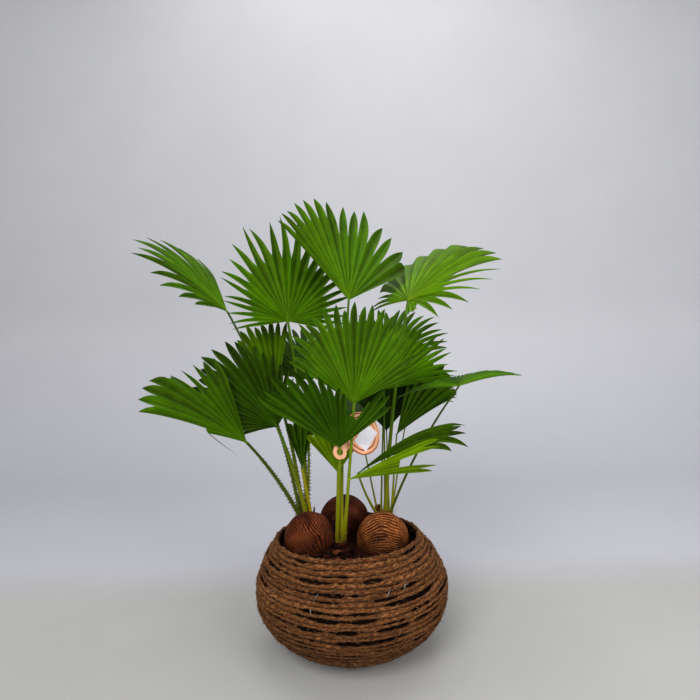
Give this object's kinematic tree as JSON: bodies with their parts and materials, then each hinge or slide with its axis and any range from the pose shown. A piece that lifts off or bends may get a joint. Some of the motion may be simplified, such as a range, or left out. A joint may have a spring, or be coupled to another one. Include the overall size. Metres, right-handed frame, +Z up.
{
  "type": "chinese fan palm in a coir rope bowl",
  "caption": "Young chinese fan palm plants with pleated, split fan leaves on slender stalks, in a round bowl of coiled coir rope with husk fill, round fibrous nuts and a plain hanging tag.",
  "frame": {"origin": "middle of the bowl's flat underside, at floor level", "axes": "+Z up, +X to the right and -Y towards the viewer in the picture's view"},
  "size_m": [0.6257, 0.489, 0.7741],
  "materials": {
    "leaf": "satin green leaf",
    "young_leaf": "satin light green leaf",
    "stalk": "satin green stalk",
    "sheath": "rough brown leaf sheath",
    "rope": "hairy coir rope",
    "husk": "rough coconut husk",
    "nut_dark": "ridged brown nut",
    "nut_light": "ridged tan nut",
    "card": "printed card with a wood grain"
  },
  "bodies": {
    "root": {"pot": "rope", "fill": "husk", "nut_left": "nut_dark", "nut_right": "nut_light", "nut_back": "nut_dark", "crown_left": "sheath", "crown_front": "sheath", "crown_right": "sheath", "stalk_top": "stalk", "stalk_upper_left": "stalk", "stalk_far_left": "stalk", "stalk_upper_right": "stalk", "stalk_middle": "stalk", "stalk_left": "stalk", "stalk_lower_left": "stalk", "stalk_front": "stalk", "stalk_inner_right": "stalk", "stalk_mid_right": "stalk", "stalk_right": "stalk", "stalk_far_right": "stalk", "stalk_lower_right": "stalk", "stalk_young_right": "stalk", "stalk_young_front": "stalk", "stalk_young_left": "stalk", "stalk_inner_left": "stalk", "stalk_back_right": "stalk", "stalk_back_left": "stalk", "stalk_back_low": "stalk", "stalk_side_right": "stalk", "blade_top": "leaf", "blade_upper_left": "leaf", "blade_far_left": "leaf", "blade_upper_right": "leaf", "blade_middle": "leaf", "blade_left": "leaf", "blade_lower_left": "leaf", "blade_front": "leaf", "blade_inner_right": "leaf", "blade_mid_right": "leaf", "blade_right": "leaf", "blade_far_right": "leaf", "blade_lower_right": "leaf", "blade_young_right": "young_leaf", "blade_young_front": "young_leaf", "blade_young_left": "young_leaf", "blade_inner_left": "leaf", "blade_back_right": "leaf", "blade_back_left": "leaf", "blade_back_low": "leaf", "blade_side_right": "leaf", "tag": "card"}
  },
  "joints": []
}
